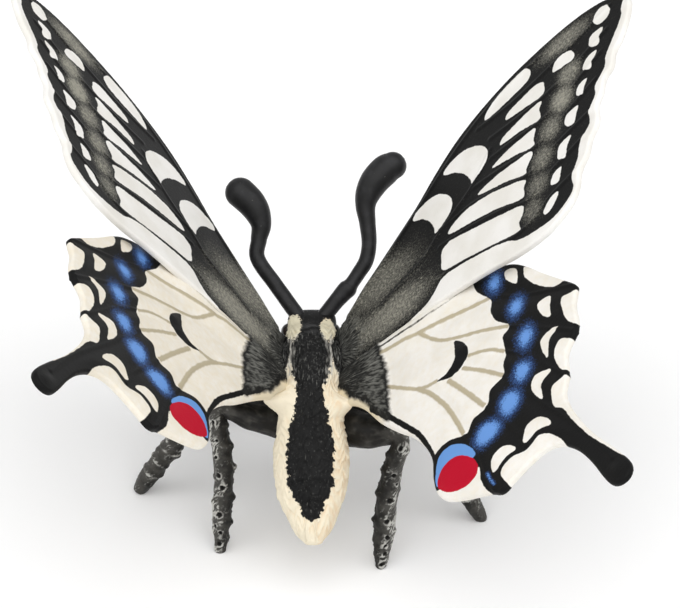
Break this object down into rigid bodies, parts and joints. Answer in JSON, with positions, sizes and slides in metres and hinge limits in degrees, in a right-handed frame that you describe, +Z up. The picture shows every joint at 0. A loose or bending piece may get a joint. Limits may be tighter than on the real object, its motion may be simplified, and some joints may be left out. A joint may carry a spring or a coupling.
{
  "type": "butterfly figurine",
  "caption": "Painted soft plastic swallowtail butterfly figurine that stands on its legs, with wings raised in a V, tailed hindwings and clubbed antennae.",
  "frame": {"origin": "on the floor under the middle of the figurine's bounding box", "axes": "+X to the butterfly's right, +Y the way its head faces, +Z up"},
  "size_m": [0.1048, 0.1074, 0.0848],
  "materials": {
    "body_fur": "matt cream paint over moulded fur, with a black stripe down the back",
    "wing_paint": "satin ivory paint with hand-painted black, blue and red markings",
    "antenna_plastic": "satin black",
    "leg_plastic": "black with silver-grey dry brushing"
  },
  "bodies": {
    "root": {"body": "body_fur", "left_forewing": "wing_paint", "right_forewing": "wing_paint", "left_hindwing": "wing_paint", "right_hindwing": "wing_paint", "left_antenna": "antenna_plastic", "right_antenna": "antenna_plastic", "left_front_leg": "leg_plastic", "right_front_leg": "leg_plastic", "left_middle_leg": "leg_plastic", "right_middle_leg": "leg_plastic", "left_hind_leg": "leg_plastic", "right_hind_leg": "leg_plastic"}
  },
  "joints": []
}
